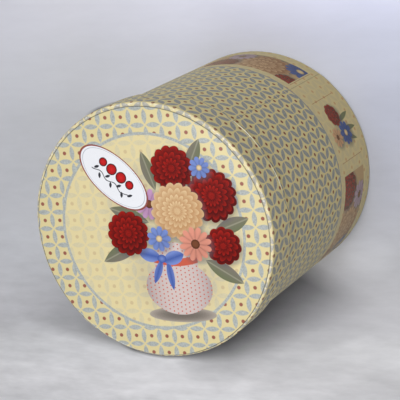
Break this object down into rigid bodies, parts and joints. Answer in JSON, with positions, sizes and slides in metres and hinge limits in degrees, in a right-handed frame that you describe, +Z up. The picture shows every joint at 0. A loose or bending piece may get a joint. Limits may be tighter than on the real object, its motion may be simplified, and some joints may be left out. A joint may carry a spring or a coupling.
{
  "type": "round paper can",
  "caption": "Upright round greyboard can with a printed paper covering and a telescoping lift-off lid.",
  "frame": {"origin": "centre of the base, on the surface that the can stands on", "axes": "+Z up along the can's axis from the base to the lid, +Y the direction that is up in the lid's print, +X to the right of it seen from above"},
  "size_m": [0.14, 0.14, 0.1497],
  "materials": {
    "greyboard": "matt, fibrous",
    "printed_wrap": "satin, printed with a small blue-grey petal lattice",
    "printed_disc": "satin, printed",
    "lining_paper": "matt, uncoated"
  },
  "bodies": {
    "can": {"body_tube": "greyboard", "body_wrap": "printed_wrap", "body_lining": "lining_paper", "base_board": "greyboard", "base_label": "printed_disc", "base_lining": "lining_paper"},
    "lid": {"lid_ring": "greyboard", "lid_wrap": "printed_wrap", "lid_lining": "lining_paper", "lid_board": "greyboard", "lid_label": "printed_disc", "lid_top_lining": "lining_paper"}
  },
  "joints": [
    {"name": "lid_slide", "type": "slide", "parent": "can", "child": "lid", "axis": [0, 0, 1], "range_m": [0, 0.08]}
  ]
}
